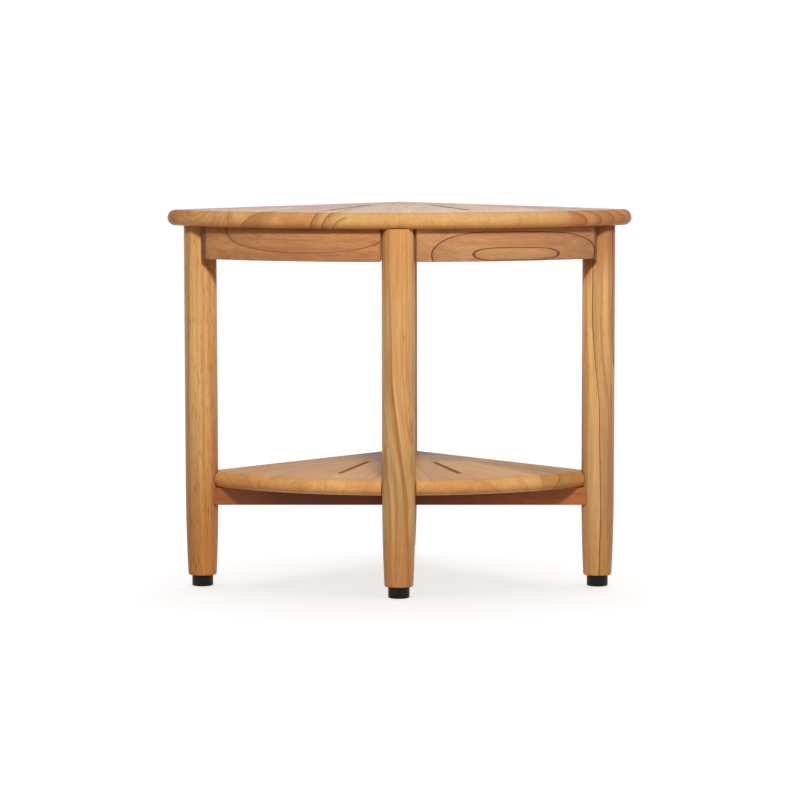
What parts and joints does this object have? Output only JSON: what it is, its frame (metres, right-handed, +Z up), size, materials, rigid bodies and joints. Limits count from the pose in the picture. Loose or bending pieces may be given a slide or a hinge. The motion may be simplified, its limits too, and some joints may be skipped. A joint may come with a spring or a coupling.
{
  "type": "corner stool",
  "caption": "Teak corner stool with a fan shaped slatted seat, a matching lower shelf, round tapered legs and levelling feet.",
  "frame": {"origin": "on the floor, under the middle of the seat's outline", "axes": "+X to the right seen from the front, +Y from the curved front towards the wall corner, +Z up"},
  "size_m": [0.5594, 0.3995, 0.457],
  "materials": {
    "teak_panels": "oiled, sanded smooth",
    "teak_frame": "oiled, sanded smooth",
    "dowel_wood": "raw",
    "screw_steel": "plain",
    "stud_steel": "zinc plated",
    "insert_brass": "plain",
    "foot_rubber": "matte black"
  },
  "bodies": {
    "stool": {"seat_board_left_outer": "teak_panels", "seat_board_left_middle": "teak_panels", "seat_board_left_inner": "teak_panels", "seat_board_right_inner": "teak_panels", "seat_board_right_middle": "teak_panels", "seat_board_right_outer": "teak_panels", "seat_corner_block": "teak_panels", "shelf_board_left_outer": "teak_panels", "shelf_board_left_middle": "teak_panels", "shelf_board_left_inner": "teak_panels", "shelf_board_right_inner": "teak_panels", "shelf_board_right_middle": "teak_panels", "shelf_board_right_outer": "teak_panels", "shelf_corner_block": "teak_panels", "leg_left": "teak_frame", "leg_right": "teak_frame", "leg_front": "teak_frame", "leg_back": "teak_frame", "front_apron_left": "teak_frame", "front_apron_right": "teak_frame", "back_apron_left": "teak_frame", "back_apron_right": "teak_frame", "cross_rail": "teak_frame", "centre_rail": "teak_frame", "seat_dowels": "dowel_wood", "shelf_dowels": "dowel_wood", "seat_screws": "screw_steel", "shelf_screws": "screw_steel", "leg_inserts": "insert_brass"},
    "foot_left_stud": {"foot_stud_left": "stud_steel"},
    "foot_left_pad": {"foot_pad_left": "foot_rubber"},
    "foot_right_stud": {"foot_stud_right": "stud_steel"},
    "foot_right_pad": {"foot_pad_right": "foot_rubber"},
    "foot_front_stud": {"foot_stud_front": "stud_steel"},
    "foot_front_pad": {"foot_pad_front": "foot_rubber"},
    "foot_back_stud": {"foot_stud_back": "stud_steel"},
    "foot_back_pad": {"foot_pad_back": "foot_rubber"}
  },
  "joints": [
    {"name": "foot_left_travel", "type": "slide", "parent": "stool", "child": "foot_left_stud", "axis": [0, 0, -1], "range_m": [0, 0.01]},
    {"name": "foot_left_spin", "type": "hinge", "parent": "foot_left_stud", "child": "foot_left_pad", "pos_m": [-0.24023, -0.08371, 0.0065], "axis": [0, 0, -1], "range_deg": [0, 2880]},
    {"name": "foot_right_travel", "type": "slide", "parent": "stool", "child": "foot_right_stud", "axis": [0, 0, -1], "range_m": [0, 0.01]},
    {"name": "foot_right_spin", "type": "hinge", "parent": "foot_right_stud", "child": "foot_right_pad", "pos_m": [0.24023, -0.08371, 0.0065], "axis": [0, 0, -1], "range_deg": [0, 2880]},
    {"name": "foot_front_travel", "type": "slide", "parent": "stool", "child": "foot_front_stud", "axis": [0, 0, -1], "range_m": [0, 0.01]},
    {"name": "foot_front_spin", "type": "hinge", "parent": "foot_front_stud", "child": "foot_front_pad", "pos_m": [0, -0.17786, 0.0065], "axis": [0, 0, -1], "range_deg": [0, 2880]},
    {"name": "foot_back_travel", "type": "slide", "parent": "stool", "child": "foot_back_stud", "axis": [0, 0, -1], "range_m": [0, 0.01]},
    {"name": "foot_back_spin", "type": "hinge", "parent": "foot_back_stud", "child": "foot_back_pad", "pos_m": [0, 0.15652, 0.0065], "axis": [0, 0, -1], "range_deg": [0, 2880]}
  ],
  "couplings": [
    {"joint": "foot_left_travel", "follows": "foot_left_spin", "m_per_rad": 0.00019894},
    {"joint": "foot_right_travel", "follows": "foot_right_spin", "m_per_rad": 0.00019894},
    {"joint": "foot_front_travel", "follows": "foot_front_spin", "m_per_rad": 0.00019894},
    {"joint": "foot_back_travel", "follows": "foot_back_spin", "m_per_rad": 0.00019894}
  ]
}
